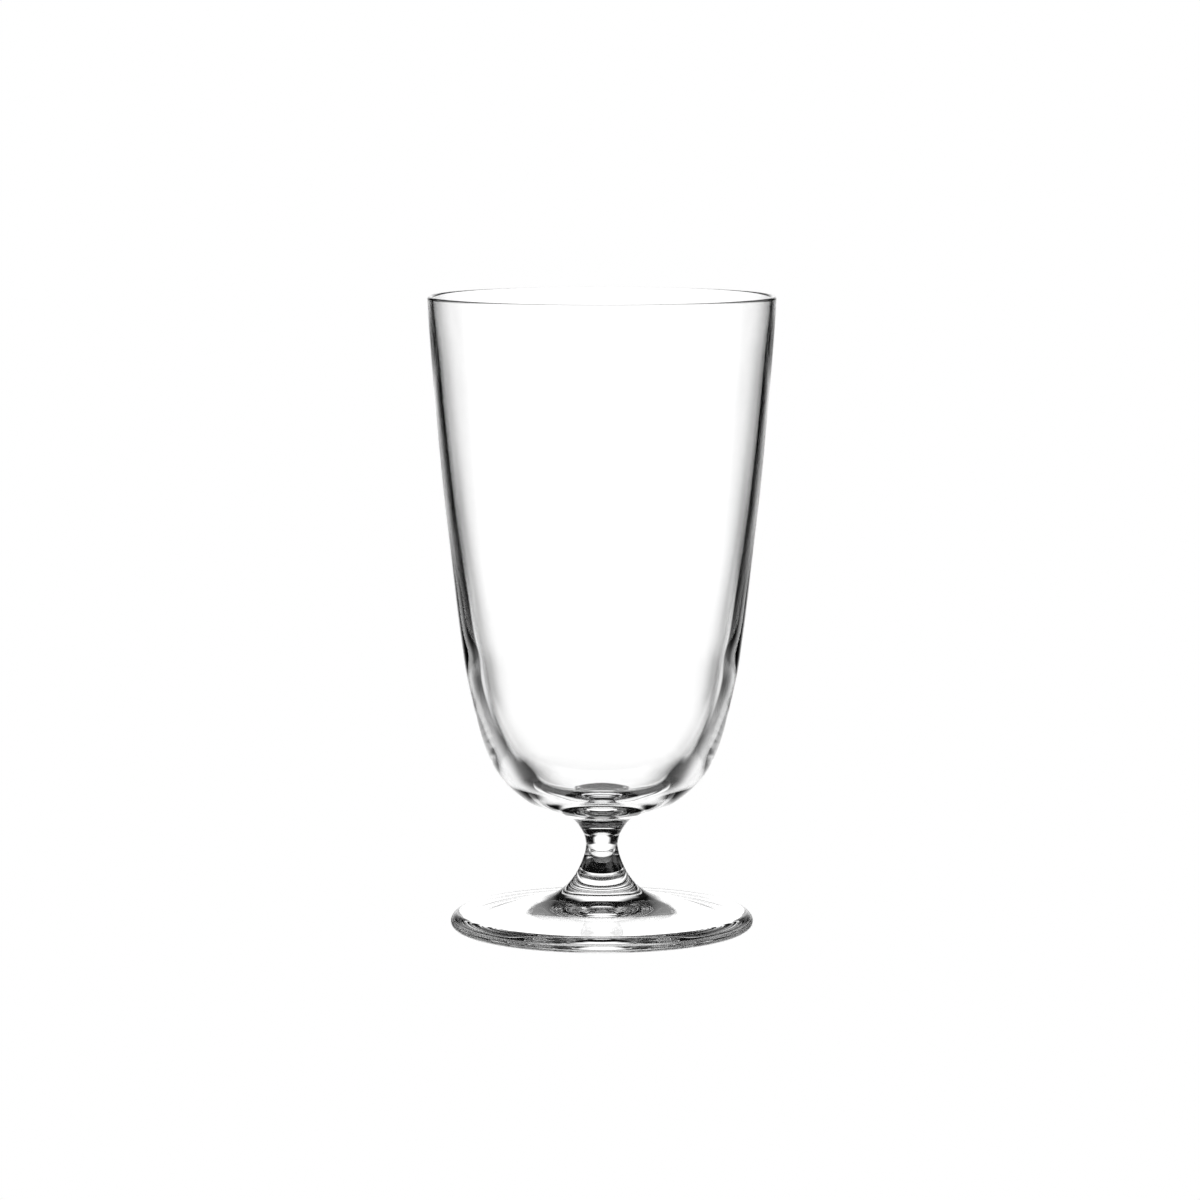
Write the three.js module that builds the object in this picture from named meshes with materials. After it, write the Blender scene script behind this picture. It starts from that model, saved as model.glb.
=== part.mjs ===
// Footed highball glass, clear soda-lime glass, built the way three-piece
// stemware is made: a blown bowl, a drawn stem and a pressed foot, each turned
// about the same vertical axis and fused at two level seams.
// Millimetres, +Z up, the foot's resting ring on Z = 0, the axis on X = Y = 0.
import * as THREE from 'three';

// ---- driving dimensions -------------------------------------------------
const HEIGHT = 156.0;        // table to the top of the rim
const RIM_R = 42.62;         // outside radius at the rim
const RIM_WALL = 1.4;        // wall at the rim, ending in a half round
const BOWL_FLOOR_Z = 33.5;   // inside bottom of the bowl on the axis
const BOWL_SEAM_Z = 27.0;    // level seam, bowl on stem
const BOWL_SEAM_R = 7.08;    // radius of that seam
const WAIST_R = 3.94;        // narrowest radius of the stem
const WAIST_Z = 20.7;        // height of the narrowest place
const FOOT_SEAM_Z = 9.0;     // level seam, stem on foot
const FOOT_SEAM_R = 10.64;   // radius of that seam
const FOOT_R = 37.4;         // outside radius of the foot
const FOOT_EDGE_Z = 4.05;    // top of the foot's rounded edge
const REST_IN_R = 33.2;      // flat resting ring, inner radius
const REST_OUT_R = 35.2;     // flat resting ring, outer radius
const HOLLOW = 3.5;          // height of the shallow coned hollow under the foot
const SEGMENTS = 48;         // facets round the axis

// Cubic spline through 2-D stations, chord-length parameter. startDir and
// endDir are unit end tangents; without one that end is free. Every station is
// kept, and each span is cut into equal parts no longer than `step`.
function spline(pts, step, startDir, endDir) {
  const m = pts.length;
  const h = [];
  const u = [0];
  for (let i = 1; i < m; i++) {
    h.push(Math.hypot(pts[i][0] - pts[i - 1][0], pts[i][1] - pts[i - 1][1]));
    u.push(u[i - 1] + h[i - 1]);
  }
  const second = [0, 1].map((k) => {
    const a = new Array(m).fill(0);
    const b = new Array(m).fill(1);
    const c = new Array(m).fill(0);
    const d = new Array(m).fill(0);
    const slope = (i) => (pts[i + 1][k] - pts[i][k]) / h[i];
    for (let i = 1; i < m - 1; i++) {
      a[i] = h[i - 1];
      b[i] = 2 * (h[i - 1] + h[i]);
      c[i] = h[i];
      d[i] = 6 * (slope(i) - slope(i - 1));
    }
    if (startDir) {
      b[0] = 2 * h[0];
      c[0] = h[0];
      d[0] = 6 * (slope(0) - startDir[k]);
    }
    if (endDir) {
      a[m - 1] = h[m - 2];
      b[m - 1] = 2 * h[m - 2];
      d[m - 1] = 6 * (endDir[k] - slope(m - 2));
    }
    for (let i = 1; i < m; i++) {
      const w = a[i] / b[i - 1];
      b[i] -= w * c[i - 1];
      d[i] -= w * d[i - 1];
    }
    const x = new Array(m).fill(0);
    x[m - 1] = d[m - 1] / b[m - 1];
    for (let i = m - 2; i >= 0; i--) x[i] = (d[i] - c[i] * x[i + 1]) / b[i];
    return x;
  });
  const out = [pts[0]];
  for (let i = 0; i < m - 1; i++) {
    const parts = Math.ceil(h[i] / step);
    for (let n = 1; n <= parts; n++) {
      const q = n / parts;
      const p = 1 - q;
      out.push([0, 1].map((k) => p * pts[i][k] + q * pts[i + 1][k]
        + ((p ** 3 - p) * second[k][i] + (q ** 3 - q) * second[k][i + 1]) * h[i] * h[i] / 6));
    }
  }
  return out;
}

// Turns a closed half-section [r, z] about Z. The section runs up the outside
// and comes back down the inside, beginning and ending on the axis.
function turned(name, section, colour) {
  const geometry = new THREE.LatheGeometry(section.map(([r, z]) => new THREE.Vector2(r, z)), SEGMENTS);
  geometry.rotateX(Math.PI / 2);
  const mesh = new THREE.Mesh(geometry, new THREE.MeshStandardMaterial({ color: colour, roughness: 0.03, metalness: 0 }));
  mesh.name = name;
  return mesh;
}

// ---- bowl: thin at the fire-polished rim, thick towards the bottom --------
const rimCentre = [RIM_R - RIM_WALL / 2, HEIGHT - RIM_WALL / 2];
const bowlOutside = spline([
  [BOWL_SEAM_R, BOWL_SEAM_Z], [8.25, 27.75], [9.8, 28.2], [12.0, 28.85], [15.12, 30.0], [18.2, 31.6],
  [20.6, 33.35], [23.19, 35.75], [25.21, 38.16], [26.78, 40.58], [27.98, 43.01], [28.93, 45.4],
  [29.76, 47.92], [31.08, 53.0], [32.44, 59.0], [33.56, 64.5], [34.35, 70.0], [35.27, 77.0],
  [36.53, 88.0], [37.77, 99.0], [38.78, 108.0], [39.75, 118.0], [40.78, 130.0], [41.79, 142.0],
  [42.42, 151.5], [RIM_R, rimCentre[1]],
], 6);
const bowlRim = [];
for (let n = 1; n < 8; n++) {
  const a = (Math.PI * n) / 8;
  bowlRim.push([rimCentre[0] + (RIM_WALL / 2) * Math.cos(a), rimCentre[1] + (RIM_WALL / 2) * Math.sin(a)]);
}
const bowlInside = spline([
  [RIM_R - RIM_WALL, rimCentre[1]], [40.85, 150.05], [39.8, 140.28], [38.4, 125.6], [36.86, 110.89],
  [35.0, 96.13], [32.85, 81.33], [31.1, 71.44], [30.05, 66.48], [28.95, 61.53], [27.7, 56.57],
  [26.2, 51.6], [24.14, 46.63], [20.98, 41.66], [17.6, 38.1], [15.8, 36.95], [13.3, 35.7],
  [11.0, 34.85], [8.4, 34.2], [4.0, 33.6], [0, BOWL_FLOOR_Z],
], 6, undefined, [-1, 0]);
const bowl = turned('bowl', [
  [0, BOWL_SEAM_Z], ...bowlOutside, ...bowlRim, ...bowlInside.slice(0, -1), [0, BOWL_FLOOR_Z],
], '#eef3f2');

// ---- stem: waisted, flaring into the bowl above and the foot below --------
const stemOutside = spline([
  [FOOT_SEAM_R, FOOT_SEAM_Z], [8.74, 10.5], [7.65, 11.7], [6.78, 12.9], [6.1, 14.0], [5.55, 15.1],
  [5.07, 16.16], [4.69, 17.17], [4.36, 18.18], [4.11, 19.19], [WAIST_R, WAIST_Z], [4.15, 22.23],
  [4.45, 23.25], [4.95, 24.27], [5.6, 25.3], [6.22, 26.15], [BOWL_SEAM_R, BOWL_SEAM_Z],
], 1.3);
const stem = turned('stem', [[0, FOOT_SEAM_Z], ...stemOutside, [0, BOWL_SEAM_Z]], '#e6eeec');

// ---- foot: a shallow cone on a disc with a rounded edge, coned hollow beneath
const footUnder = spline([
  [0, HOLLOW], [7.0, 3.2], [15.0, 2.35], [24.0, 1.1], [30.0, 0.33], [REST_IN_R, 0],
], 4, [1, 0]);
const footEdge = spline([
  [REST_OUT_R, 0], [36.9, 0.55], [FOOT_R, 1.5], [36.5, 3.3], [35.0, FOOT_EDGE_Z],
], 0.6, [1, 0], [-1, 0.08]);
const footTop = spline([
  [35.0, FOOT_EDGE_Z], [31.0, 4.35], [26.0, 4.85], [21.0, 5.6], [16.9, 6.45], [14.1, 7.3],
  [12.0, 8.2], [FOOT_SEAM_R, FOOT_SEAM_Z],
], 3);
const foot = turned('foot', [
  ...footUnder, ...footEdge, ...footTop.slice(1), [0, FOOT_SEAM_Z],
], '#e9f0ee');

const glass = new THREE.Group();
glass.name = 'highball_glass';
glass.add(bowl, stem, foot);
export default glass;
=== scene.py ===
import math

import bpy
import numpy as np
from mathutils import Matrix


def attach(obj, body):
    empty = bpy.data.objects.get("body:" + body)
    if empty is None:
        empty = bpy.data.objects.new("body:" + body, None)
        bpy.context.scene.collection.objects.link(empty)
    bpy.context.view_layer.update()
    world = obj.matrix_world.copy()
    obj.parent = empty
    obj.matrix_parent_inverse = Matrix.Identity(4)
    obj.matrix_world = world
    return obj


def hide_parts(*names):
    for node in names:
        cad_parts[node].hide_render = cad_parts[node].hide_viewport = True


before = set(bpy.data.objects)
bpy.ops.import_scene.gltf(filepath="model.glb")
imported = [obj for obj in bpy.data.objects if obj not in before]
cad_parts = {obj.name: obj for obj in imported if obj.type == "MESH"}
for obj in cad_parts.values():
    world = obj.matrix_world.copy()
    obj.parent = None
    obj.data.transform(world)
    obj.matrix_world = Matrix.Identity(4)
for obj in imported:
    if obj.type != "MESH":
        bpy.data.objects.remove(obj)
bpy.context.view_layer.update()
scene = bpy.context.scene

# ---------------------------------------------------------------- the glass
# Half-sections in millimetres as [r, z], the same stations as the CAD part.
HEIGHT = 156.0
RIM_R = 42.62
RIM_WALL = 1.4
BOWL_SEAM = (7.08, 27.0)
FOOT_SEAM = (10.64, 9.0)
SEGMENTS = 240

BOWL_OUTSIDE = [
    BOWL_SEAM, (8.25, 27.75), (9.8, 28.2), (12.0, 28.85), (15.12, 30.0), (18.2, 31.6),
    (20.6, 33.35), (23.19, 35.75), (25.21, 38.16), (26.78, 40.58), (27.98, 43.01), (28.93, 45.4),
    (29.76, 47.92), (31.08, 53.0), (32.44, 59.0), (33.56, 64.5), (34.35, 70.0), (35.27, 77.0),
    (36.53, 88.0), (37.77, 99.0), (38.78, 108.0), (39.75, 118.0), (40.78, 130.0), (41.79, 142.0),
    (42.42, 151.5), (RIM_R, HEIGHT - RIM_WALL / 2),
]
BOWL_INSIDE = [
    (RIM_R - RIM_WALL, HEIGHT - RIM_WALL / 2), (40.85, 150.05), (39.8, 140.28), (38.4, 125.6), (36.86, 110.89),
    (35.0, 96.13), (32.85, 81.33), (31.1, 71.44), (30.05, 66.48), (28.95, 61.53), (27.7, 56.57),
    (26.2, 51.6), (24.14, 46.63), (20.98, 41.66), (17.6, 38.1), (15.8, 36.95), (13.3, 35.7),
    (11.0, 34.85), (8.4, 34.2), (4.0, 33.6), (0.0, 33.5),
]
STEM_OUTSIDE = [
    FOOT_SEAM, (8.74, 10.5), (7.65, 11.7), (6.78, 12.9), (6.1, 14.0), (5.55, 15.1),
    (5.07, 16.16), (4.69, 17.17), (4.36, 18.18), (4.11, 19.19), (3.94, 20.7), (4.15, 22.23),
    (4.45, 23.25), (4.95, 24.27), (5.6, 25.3), (6.22, 26.15), BOWL_SEAM,
]
FOOT_UNDER = [(0.0, 3.5), (7.0, 3.2), (15.0, 2.35), (24.0, 1.1), (30.0, 0.33), (33.2, 0.0)]
FOOT_EDGE = [(35.2, 0.0), (36.9, 0.55), (37.4, 1.5), (36.5, 3.3), (35.0, 4.05)]
FOOT_TOP = [
    (35.0, 4.05), (31.0, 4.35), (26.0, 4.85), (21.0, 5.6), (16.9, 6.45), (14.1, 7.3),
    (12.0, 8.2), FOOT_SEAM,
]


def spline(stations, step, start=None, end=None):
    """Cubic spline through the stations, chord-length parameter, each span cut into parts no longer than step.
    Gives points and unit tangents."""
    p = np.array(stations, float)
    m = len(p)
    h = np.hypot(*np.diff(p, axis=0).T)
    A = np.zeros((m, m))
    B = np.zeros((m, 2))
    for i in range(1, m - 1):
        A[i, i - 1], A[i, i], A[i, i + 1] = h[i - 1], 2 * (h[i - 1] + h[i]), h[i]
        B[i] = 6 * ((p[i + 1] - p[i]) / h[i] - (p[i] - p[i - 1]) / h[i - 1])
    A[0, 0] = A[-1, -1] = 1
    if start is not None:
        A[0, 0], A[0, 1] = 2 * h[0], h[0]
        B[0] = 6 * ((p[1] - p[0]) / h[0] - np.array(start, float))
    if end is not None:
        A[-1, -1], A[-1, -2] = 2 * h[-1], h[-1]
        B[-1] = 6 * (np.array(end, float) - (p[-1] - p[-2]) / h[-1])
    M = np.linalg.solve(A, B)
    points, tangents = [], []
    for i in range(m - 1):
        parts = max(1, math.ceil(h[i] / step))
        for n in range(0 if i == 0 else 1, parts + 1):
            b = n / parts
            a = 1 - b
            points.append(a * p[i] + b * p[i + 1] + ((a**3 - a) * M[i] + (b**3 - b) * M[i + 1]) * h[i] ** 2 / 6)
            t = (p[i + 1] - p[i]) / h[i] + ((1 - 3 * a * a) * M[i] + (3 * b * b - 1) * M[i + 1]) * h[i] / 6
            tangents.append(t / np.hypot(*t))
    return np.array(points), np.array(tangents)


def turned(name, points, tangents, bottom_cap, top_cap, materials):
    """A closed body turned about Z from a half-section that runs up the outside. The section's normals are exact, so
    refraction runs smoothly. A cap is the z of a level seam that closes an end, or None where the section meets the axis."""
    normals = np.stack([tangents[:, 1], -tangents[:, 0]], -1)
    turn = np.linspace(0, 2 * np.pi, SEGMENTS, endpoint=False)
    ct, st = np.cos(turn), np.sin(turn)
    verts, vert_normals, faces, face_slots = [], [], [], []

    def ring(p, n):
        first = len(verts)
        for c, s in zip(ct, st):
            verts.append((p[0] * c / 1000, p[0] * s / 1000, p[1] / 1000))
            vert_normals.append((n[0] * c, n[0] * s, n[1]))
        return first

    def pole(z, up):
        verts.append((0, 0, z / 1000))
        vert_normals.append((0, 0, up))
        return len(verts) - 1

    last = None
    for k, (p, n) in enumerate(zip(points, normals)):
        here = ("pole", pole(p[1], 1.0 if n[1] > 0 else -1.0)) if p[0] < 1e-9 else ("ring", ring(p, n))
        if last is not None:
            for j in range(SEGMENTS):
                i = (j + 1) % SEGMENTS
                if last[0] == "pole":
                    faces.append((last[1], here[1] + i, here[1] + j))
                elif here[0] == "pole":
                    faces.append((last[1] + j, last[1] + i, here[1]))
                else:
                    faces.append((last[1] + j, last[1] + i, here[1] + i, here[1] + j))
                face_slots.append(0)
        if k == 0:
            first = here
        last = here
    if bottom_cap is not None:
        c = pole(bottom_cap, -1.0)
        for j in range(SEGMENTS):
            faces.append((c, first[1] + (j + 1) % SEGMENTS, first[1] + j))
            face_slots.append(1)
    if top_cap is not None:
        c = pole(top_cap, 1.0)
        for j in range(SEGMENTS):
            faces.append((c, last[1] + j, last[1] + (j + 1) % SEGMENTS))
            face_slots.append(1)
    mesh = bpy.data.meshes.new(name)
    mesh.from_pydata(verts, [], faces)
    for m in materials:
        mesh.materials.append(m)
    mesh.polygons.foreach_set("material_index", np.array(face_slots, np.int32))
    mesh.polygons.foreach_set("use_smooth", np.ones(len(faces), bool))
    mesh.update()
    mesh.normals_split_custom_set_from_vertices(vert_normals)
    piece = bpy.data.objects.new(name, mesh)
    scene.collection.objects.link(piece)
    return piece


def section(*runs):
    """Joins runs of (points, tangents), dropping a point that repeats the one before it."""
    P, T = [], []
    for points, tangents in runs:
        for p, t in zip(points, tangents):
            if P and np.hypot(*(p - P[-1])) < 1e-6:
                continue
            P.append(p)
            T.append(t)
    return np.array(P), np.array(T)


# ---------------------------------------------------------------- materials
def glass_material(name, wave_scale, wave_strength):
    """Clear fire-polished glass: smooth, with a faint long waviness left by the mould and the flame."""
    m = bpy.data.materials.new(name)
    m.use_nodes = True
    nt = m.node_tree
    b = nt.nodes["Principled BSDF"]
    b.inputs["Base Color"].default_value = (1.0, 1.0, 1.0, 1.0)
    b.inputs["Roughness"].default_value = 0.0
    b.inputs["IOR"].default_value = 1.515
    b.inputs["Transmission Weight"].default_value = 1.0
    coord = nt.nodes.new("ShaderNodeTexCoord")
    noise = nt.nodes.new("ShaderNodeTexNoise")
    noise.inputs["Scale"].default_value = wave_scale
    noise.inputs["Detail"].default_value = 2.0
    noise.inputs["Roughness"].default_value = 0.45
    bump = nt.nodes.new("ShaderNodeBump")
    bump.inputs["Strength"].default_value = wave_strength
    bump.inputs["Distance"].default_value = 0.001
    nt.links.new(coord.outputs["Object"], noise.inputs["Vector"])
    nt.links.new(noise.outputs["Fac"], bump.inputs["Height"])
    nt.links.new(bump.outputs["Normal"], b.inputs["Normal"])
    return m


def seam_material():
    """The fused seam: glass runs through it unbroken, so light passes straight on."""
    m = bpy.data.materials.new("fused_seam")
    m.use_nodes = True
    nt = m.node_tree
    nt.nodes.clear()
    t = nt.nodes.new("ShaderNodeBsdfTransparent")
    o = nt.nodes.new("ShaderNodeOutputMaterial")
    nt.links.new(t.outputs[0], o.inputs["Surface"])
    return m


blown = glass_material("clear_glass_blown", 55.0, 0.003)
drawn = glass_material("clear_glass_drawn", 90.0, 0.002)
pressed = glass_material("clear_glass_pressed", 120.0, 0.003)
seam = seam_material()

# ---------------------------------------------------------------- pieces
outside = spline(BOWL_OUTSIDE, 0.75)
arc = np.linspace(0, math.pi, 25)[1:-1]
rim_mid = np.array([RIM_R - RIM_WALL / 2, HEIGHT - RIM_WALL / 2])
rim = (
    rim_mid + RIM_WALL / 2 * np.stack([np.cos(arc), np.sin(arc)], -1),
    np.stack([-np.sin(arc), np.cos(arc)], -1),
)
inside = spline(BOWL_INSIDE, 0.8, end=(-1, 0))
P, T = section(outside, rim, inside)
P[-1, 0] = 0.0
bowl = turned("bowl_glass", P, T, BOWL_SEAM[1], None, [blown, seam])

P, T = spline(STEM_OUTSIDE, 0.12)
stem = turned("stem_glass", P, T, FOOT_SEAM[1], BOWL_SEAM[1], [drawn, seam])

under = spline(FOOT_UNDER, 0.4, start=(1, 0))
ledge = (np.array([[33.2, 0.0], [34.2, 0.0], [35.2, 0.0]]), np.array([[1.0, 0.0]] * 3))
edge = spline(FOOT_EDGE, 0.06, start=(1, 0), end=(-1, 0.08))
top = spline(FOOT_TOP, 0.25)
P, T = section(under, ledge, edge, top)
P[0, 0] = 0.0
foot = turned("foot_glass", P, T, None, FOOT_SEAM[1], [pressed, seam])

for piece, node in ((bowl, "bowl"), (stem, "stem"), (foot, "foot")):
    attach(piece, "root")
    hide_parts(node)


# ---------------------------------------------------------------- stage
def card(name, verts, faces, level, to_camera):
    """A plain white sheet of the stage. Cards lit for the glass stay out of the camera's sight, the floor stays out of the glass."""
    mesh = bpy.data.meshes.new(name)
    mesh.from_pydata(verts, [], faces)
    mesh.update()
    m = bpy.data.materials.new(name)
    m.use_nodes = True
    nt = m.node_tree
    nt.nodes.clear()
    e = nt.nodes.new("ShaderNodeEmission")
    e.inputs["Color"].default_value = (1.0, 1.0, 1.0, 1.0)
    e.inputs["Strength"].default_value = level
    o = nt.nodes.new("ShaderNodeOutputMaterial")
    nt.links.new(e.outputs[0], o.inputs["Surface"])
    m.cycles.emission_sampling = "NONE"
    mesh.materials.append(m)
    sheet = bpy.data.objects.new(name, mesh)
    scene.collection.objects.link(sheet)
    sheet.visible_camera = to_camera
    sheet.visible_diffuse = False
    sheet.visible_glossy = not to_camera
    sheet.visible_transmission = not to_camera
    sheet.visible_shadow = False
    return sheet


card("floor", [(-3, -3, -0.0002), (3, -3, -0.0002), (3, 3, -0.0002), (-3, 3, -0.0002)], [(0, 1, 2, 3)], 1.0, True)


class Nodes:
    """Small sums on sockets, for the light of the table and of the room."""

    def __init__(self, tree):
        self.tree = tree

    def wire(self, socket, value):
        if isinstance(value, (int, float)):
            socket.default_value = value
        else:
            self.tree.links.new(value, socket)

    def calc(self, op, a, b=None):
        n = self.tree.nodes.new("ShaderNodeMath")
        n.operation = op
        self.wire(n.inputs[0], a)
        if b is not None:
            self.wire(n.inputs[1], b)
        return n.outputs[0]

    def line(self, x, slope, start):
        return self.calc("ADD", self.calc("MULTIPLY", x, slope), start)

    def ease(self, x, low, high):
        n = self.tree.nodes.new("ShaderNodeMapRange")
        n.interpolation_type = "SMOOTHSTEP"
        self.wire(n.inputs["Value"], x)
        self.wire(n.inputs["From Min"], low)
        self.wire(n.inputs["From Max"], high)
        return n.outputs[0]

    def past(self, x, edge, soft):
        return self.ease(x, self.calc("SUBTRACT", edge, soft), self.calc("ADD", edge, soft))

    def blend(self, a, b, t):
        n = self.tree.nodes.new("ShaderNodeMix")
        n.data_type = "FLOAT"
        self.wire(n.inputs[0], t)
        self.wire(n.inputs[2], a)
        self.wire(n.inputs[3], b)
        return n.outputs[0]


# The lit table round the glass: bright lanes with straight soft edges, the main one behind the glass, on a dim sheet that has
# an unlit flag on either side of the main lane. Close to the glass the light falls off softly with direction. Sizes in metres
# from the glass's axis, directions in degrees from +Y towards +X. The sheet is open under the foot and in a gap on either side
# of the main lane, where the room shines through.
LANES = [
    dict(at=0, start=0.042, slope=0.25, soft=0.16, first=-0.005, full=0.015, last=40.0, level=1.2),
    dict(at=-90, start=0.03, slope=0.2, soft=0.14, first=0.12, full=0.5, last=40.0, level=1.15),
    dict(at=90, start=0.03, slope=0.2, soft=0.14, first=0.12, full=0.5, last=40.0, level=1.15),
    dict(at=135, start=0.04, slope=0.1, soft=0.14, first=0.045, full=0.085, last=1.5, level=1.15),
]
TABLE = dict(opening=0.048, sides_near=0.5, sides_far=0.35, sides_start=0.05, sides_slope=0.95, sides_soft=0.14)
NEAR = dict(full=16.0, none=66.0, tighter=8.0, level=1.2, sides=62.0, soft=5.0, sides_level=0.6, sides_x=0.055, behind=98.0, last=0.13, gone=0.26)
GAPS = dict(at=45.0, half=12.0, soft=6.0, first=0.075, full=0.25, last=0.65)


def lit_table():
    n = 120
    verts, faces = [], []
    for a in np.linspace(0, 2 * math.pi, n, endpoint=False):
        for r in (TABLE["opening"], 12.0):
            verts.append((r * math.cos(a), r * math.sin(a), -0.0003))
    for k in range(n):
        i = (k + 1) % n
        faces.append((2 * k, 2 * k + 1, 2 * i + 1, 2 * i))
    sheet = card("lit_table", verts, faces, 1.0, False)
    tree = sheet.data.materials[0].node_tree
    s = Nodes(tree)
    t = TABLE
    where = tree.nodes.new("ShaderNodeTexCoord")
    xyz = tree.nodes.new("ShaderNodeSeparateXYZ")
    tree.links.new(where.outputs["Object"], xyz.inputs[0])
    x, y = xyz.outputs[0], xyz.outputs[1]
    wide = s.calc("ABSOLUTE", x)
    r = s.calc("SQRT", s.calc("ADD", s.calc("MULTIPLY", x, x), s.calc("MULTIPLY", y, y)))
    sides = s.past(wide, s.line(y, t["sides_slope"], t["sides_start"]), s.calc("MULTIPLY", r, t["sides_soft"]))
    level = s.calc("MULTIPLY", sides, s.blend(t["sides_near"], t["sides_far"], s.ease(r, 0.15, 0.6)))
    turn = s.calc("MULTIPLY", s.calc("ARCTAN2", wide, y), 180 / math.pi)
    for lane in LANES:
        c, d = math.cos(math.radians(lane["at"])), math.sin(math.radians(lane["at"]))
        along = s.calc("ADD", s.calc("MULTIPLY", x, d), s.calc("MULTIPLY", y, c))
        across = s.calc("ABSOLUTE", s.calc("SUBTRACT", s.calc("MULTIPLY", x, c), s.calc("MULTIPLY", y, d)))
        out = s.past(across, s.line(along, lane["slope"], lane["start"]), s.calc("MULTIPLY", r, lane["soft"]))
        lit = s.calc("MULTIPLY", s.calc("SUBTRACT", 1.0, out), s.ease(along, lane["first"], lane["full"]))
        lit = s.calc("MULTIPLY", lit, s.calc("SUBTRACT", 1.0, s.ease(r, 0.75 * lane["last"], lane["last"])))
        level = s.blend(level, lane["level"], lit)
    tight = s.calc("MULTIPLY", s.calc("SUBTRACT", 1.0, s.ease(r, 0.05, 0.085)), NEAR["tighter"])
    close = s.calc("SUBTRACT", 1.0, s.ease(s.calc("ADD", turn, tight), NEAR["full"], NEAR["none"]))
    close = s.calc("MULTIPLY", close, NEAR["level"])
    wing = s.calc("MULTIPLY", s.past(turn, NEAR["sides"], NEAR["soft"]), s.past(wide, NEAR["sides_x"], 0.004))
    close = s.calc("MAXIMUM", close, s.calc("MULTIPLY", wing, NEAR["sides_level"]))
    level = s.blend(close, level, s.calc("MAXIMUM", s.ease(r, NEAR["last"], NEAR["gone"]), s.past(turn, NEAR["behind"], 8.0)))
    glow = next(k for k in tree.nodes if k.type == "EMISSION")
    end = next(k for k in tree.nodes if k.type == "OUTPUT_MATERIAL")
    tree.links.new(level, glow.inputs["Strength"])
    gap = s.calc("SUBTRACT", 1.0, s.past(s.calc("ABSOLUTE", s.calc("SUBTRACT", turn, GAPS["at"])), GAPS["half"], GAPS["soft"]))
    gap = s.calc("MULTIPLY", gap, s.calc("SUBTRACT", 1.0, s.ease(r, 0.75 * GAPS["last"], GAPS["last"])))
    gap = s.calc("MULTIPLY", gap, s.ease(r, GAPS["first"], GAPS["full"]))
    clear = tree.nodes.new("ShaderNodeBsdfTransparent")
    mix = tree.nodes.new("ShaderNodeMixShader")
    tree.links.new(gap, mix.inputs[0])
    tree.links.new(glow.outputs[0], mix.inputs[1])
    tree.links.new(clear.outputs[0], mix.inputs[2])
    tree.links.new(mix.outputs[0], end.inputs["Surface"])


lit_table()

# The room above the table, and what shines through the sheet's openings, by compass direction from +Y towards +X and by rise
# above level, in degrees: a bright lane that widens downwards, an unlit flag on either side of it, and dim sides.
LANE = dict(half=19.0, below=26.0, widen=2.5, most=35.0, soft=6.0, top=28.0, narrow=14.0, bottom=-39.0, level=1.25)
SHEEN = dict(half=15.0, below=0.0, widen=0.4, most=30.0, soft=9.0, top=28.0, narrow=11.0, bottom=-52.0, level=1.25)
SIDES = dict(start=48.0, widen=0.55, soft=5.0, end=110.0, bottom=-46.0, level=0.06, front=0.03)
WINDOWS = [
    dict(at=-45, half=6, soft=2.0, top=-16, bottom=-36, level=1.1),
    dict(at=45, half=6, soft=2.0, top=-16, bottom=-36, level=1.1),
    dict(at=-90, half=11.3, soft=7.5, top=7, bottom=-4, level=1.15),
    dict(at=90, half=11.3, soft=7.5, top=7, bottom=-4, level=1.15),
    dict(at=135, half=14, soft=4.0, top=-6, bottom=-28, level=0.9),
]
GLINTS = [
    dict(at=-45, half=12, soft=6.0, top=46, bottom=10, level=1.0),
    dict(at=45, half=12, soft=6.0, top=46, bottom=10, level=1.0),
    dict(at=-90, half=14, soft=7.0, top=24, bottom=8, level=1.0),
    dict(at=90, half=14, soft=7.0, top=24, bottom=8, level=1.0),
    dict(at=135, half=20, soft=8.0, top=38, bottom=2, level=1.1),
]
FRONT = dict(start=105.0, soft=8.0, top=13.0, bottom=1.5, level=0.5)
AMBIENT = 0.004

world = bpy.data.worlds.new("studio")
scene.world = world
world.use_nodes = True
wt = world.node_tree
wt.nodes.clear()
s = Nodes(wt)
way = wt.nodes.new("ShaderNodeTexCoord")
split = wt.nodes.new("ShaderNodeSeparateXYZ")
wt.links.new(way.outputs["Generated"], split.inputs[0])
compass = s.calc("MULTIPLY", s.calc("ARCTAN2", split.outputs[0], split.outputs[1]), 180 / math.pi)
rise = s.calc("MULTIPLY", s.calc("ARCSINE", split.outputs[2]), 180 / math.pi)
aside = s.calc("ABSOLUTE", compass)
drop = s.calc("MAXIMUM", s.calc("MULTIPLY", rise, -1.0), 0.0)


def lane_light(lane):
    lower = s.calc("MAXIMUM", s.calc("SUBTRACT", drop, lane["below"]), 0.0)
    half = s.calc("MINIMUM", s.line(lower, lane["widen"], lane["half"]), lane["most"])
    half = s.blend(half, lane["narrow"], s.past(rise, 16.0, 5.0))
    lit = s.calc("SUBTRACT", 1.0, s.past(aside, half, lane["soft"]))
    lit = s.calc("MULTIPLY", lit, s.calc("SUBTRACT", 1.0, s.past(rise, lane["top"], 3.0)))
    return s.calc("MULTIPLY", s.calc("MULTIPLY", lit, s.past(rise, lane["bottom"], 3.0)), lane["level"])


light = lane_light(LANE)
sheen = lane_light(SHEEN)

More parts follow.
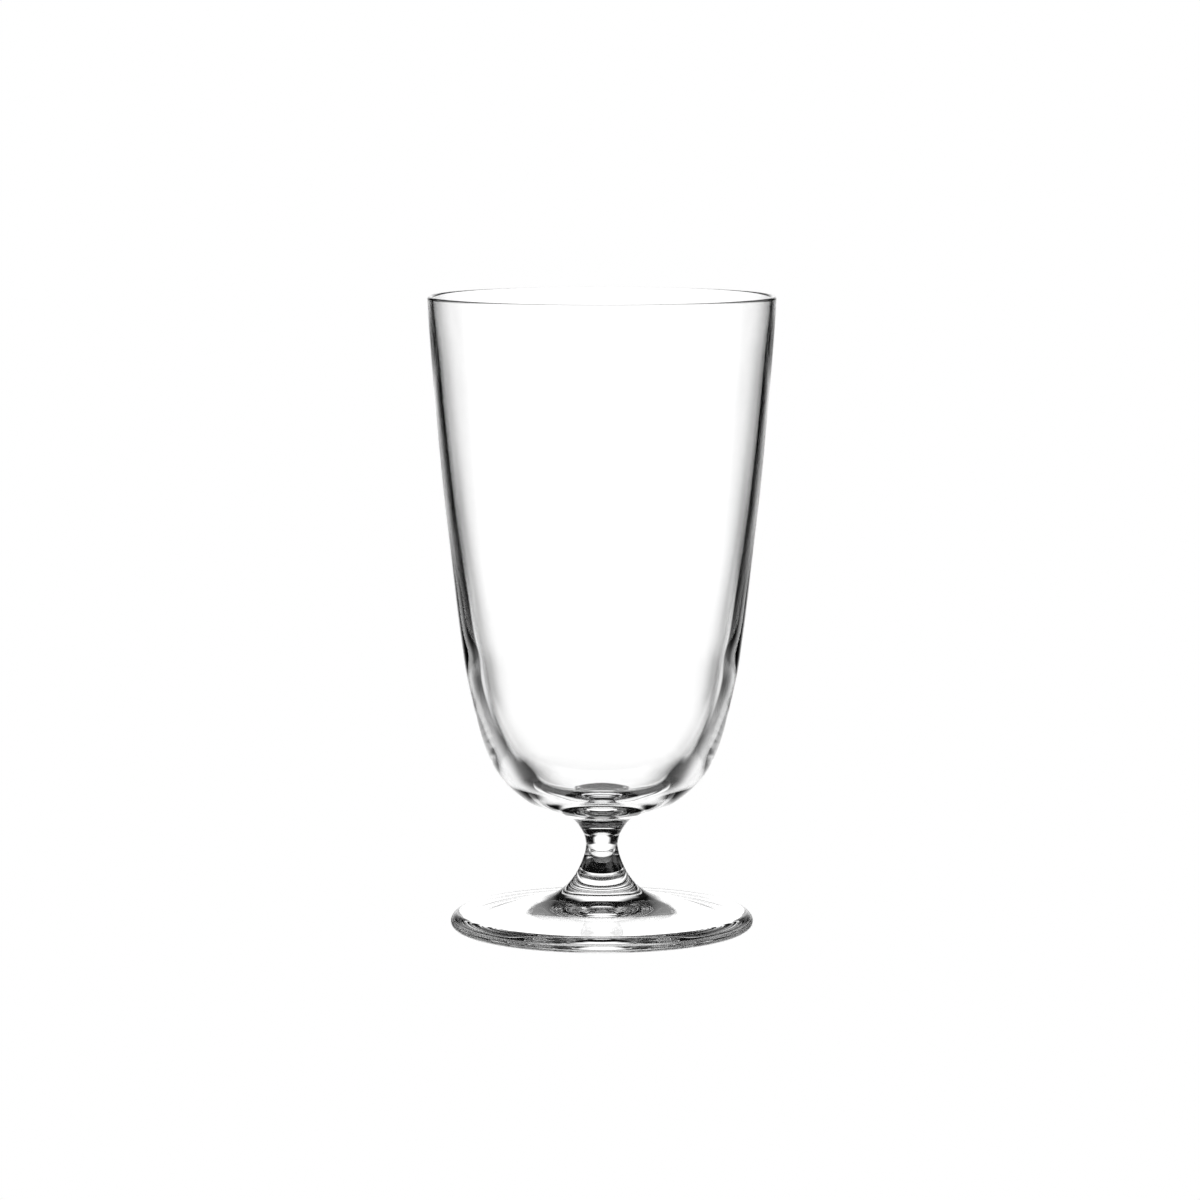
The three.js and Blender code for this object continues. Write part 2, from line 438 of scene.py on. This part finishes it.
sides = s.past(aside, s.line(drop, SIDES["widen"], SIDES["start"]), SIDES["soft"])
sides = s.calc("MULTIPLY", sides, s.calc("SUBTRACT", 1.0, s.past(rise, -1.0, 1.0)))
sides = s.calc("MULTIPLY", sides, s.past(rise, SIDES["bottom"], 3.0))
sides = s.calc("MULTIPLY", sides, s.blend(SIDES["level"], SIDES["front"], s.past(aside, SIDES["end"], 8.0)))
light = s.calc("MAXIMUM", light, sides)


def window_light(w):
    off = s.calc("ABSOLUTE", s.calc("SUBTRACT", compass, w["at"]))
    off = s.calc("MINIMUM", off, s.calc("SUBTRACT", 360.0, off))
    across = s.calc("SUBTRACT", 1.0, s.past(off, w["half"], w["soft"]))
    under_top = s.calc("SUBTRACT", 1.0, s.past(rise, w["top"], 3.0))
    over_bottom = s.past(rise, w["bottom"], 3.0)
    return s.calc("MULTIPLY", s.calc("MULTIPLY", s.calc("MULTIPLY", across, under_top), over_bottom), w["level"])


for w in WINDOWS:
    light = s.calc("MAXIMUM", light, window_light(w))
for w in GLINTS:
    sheen = s.calc("MAXIMUM", sheen, window_light(w))
front = s.calc("MULTIPLY", s.past(aside, FRONT["start"], FRONT["soft"]), FRONT["level"])
front = s.calc("MULTIPLY", front, s.calc("SUBTRACT", 1.0, s.past(rise, FRONT["top"], 2.0)))
light = s.calc("MAXIMUM", light, s.calc("MULTIPLY", front, s.past(rise, FRONT["bottom"], 1.5)))
path = wt.nodes.new("ShaderNodeLightPath")
light = s.blend(sheen, light, path.outputs["Is Transmission Ray"])
light = s.calc("ADD", light, AMBIENT)
back = wt.nodes.new("ShaderNodeBackground")
back.inputs["Color"].default_value = (1.0, 1.0, 1.0, 1.0)
wt.links.new(s.blend(light, 1.0, path.outputs["Is Camera Ray"]), back.inputs["Strength"])
out = wt.nodes.new("ShaderNodeOutputWorld")
wt.links.new(back.outputs[0], out.inputs["Surface"])
world.cycles.sampling_method = "NONE"

# ---------------------------------------------------------------- camera
lens = bpy.data.cameras.new("camera")
lens.sensor_width = 36.0
lens.lens = 148.2
lens.clip_end = 50.0
camera = bpy.data.objects.new("camera", lens)
camera.location = (-0.00046, -1.2045, 0.2192)
camera.rotation_euler = (math.radians(90 - 6.53), 0.0, 0.0)
scene.collection.objects.link(camera)
scene.camera = camera

scene.view_settings.view_transform = "Standard"
scene.cycles.max_bounces = 32
scene.cycles.transmission_bounces = 32
scene.cycles.glossy_bounces = 32
scene.cycles.transparent_max_bounces = 32
scene.cycles.caustics_reflective = True
scene.cycles.caustics_refractive = True
scene.cycles.blur_glossy = 0.0
scene.cycles.sample_clamp_indirect = 0.0
scene.cycles.use_denoising = True
